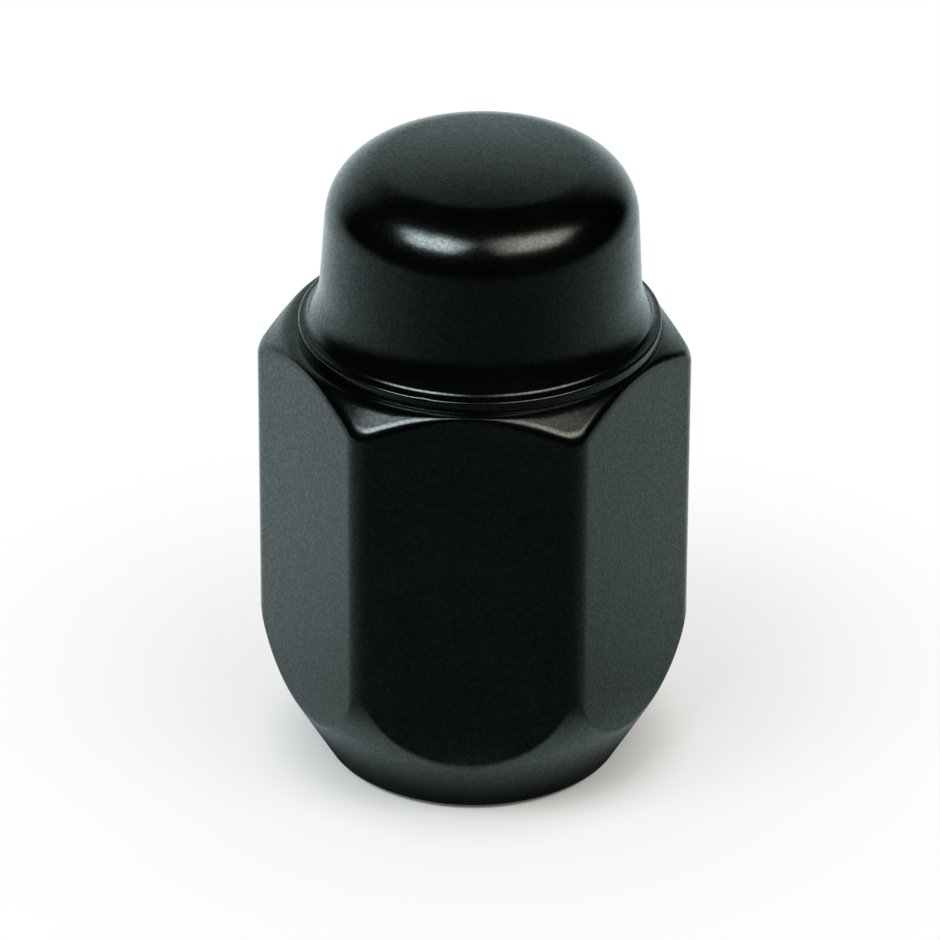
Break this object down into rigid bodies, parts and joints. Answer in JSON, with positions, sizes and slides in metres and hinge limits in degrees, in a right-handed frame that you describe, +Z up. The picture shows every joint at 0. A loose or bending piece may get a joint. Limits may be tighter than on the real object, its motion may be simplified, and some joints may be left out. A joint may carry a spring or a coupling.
{
  "type": "lug nut",
  "caption": "Closed-end wheel nut: hexagon body on a conical seat, with a low collar and a domed crown over a blind thread, in satin black.",
  "frame": {"origin": "centre of the seat's small end, on the thread's axis, at the surface that the nut stands on", "axes": "+Z up the thread's axis towards the crown, one flat of the hexagon facing -Y, corners on X"},
  "size_m": [0.0234, 0.0206, 0.0358],
  "materials": {
    "black_coat": "satin gloss black coat on steel"
  },
  "bodies": {
    "root": {"lug_nut": "black_coat"}
  },
  "joints": []
}
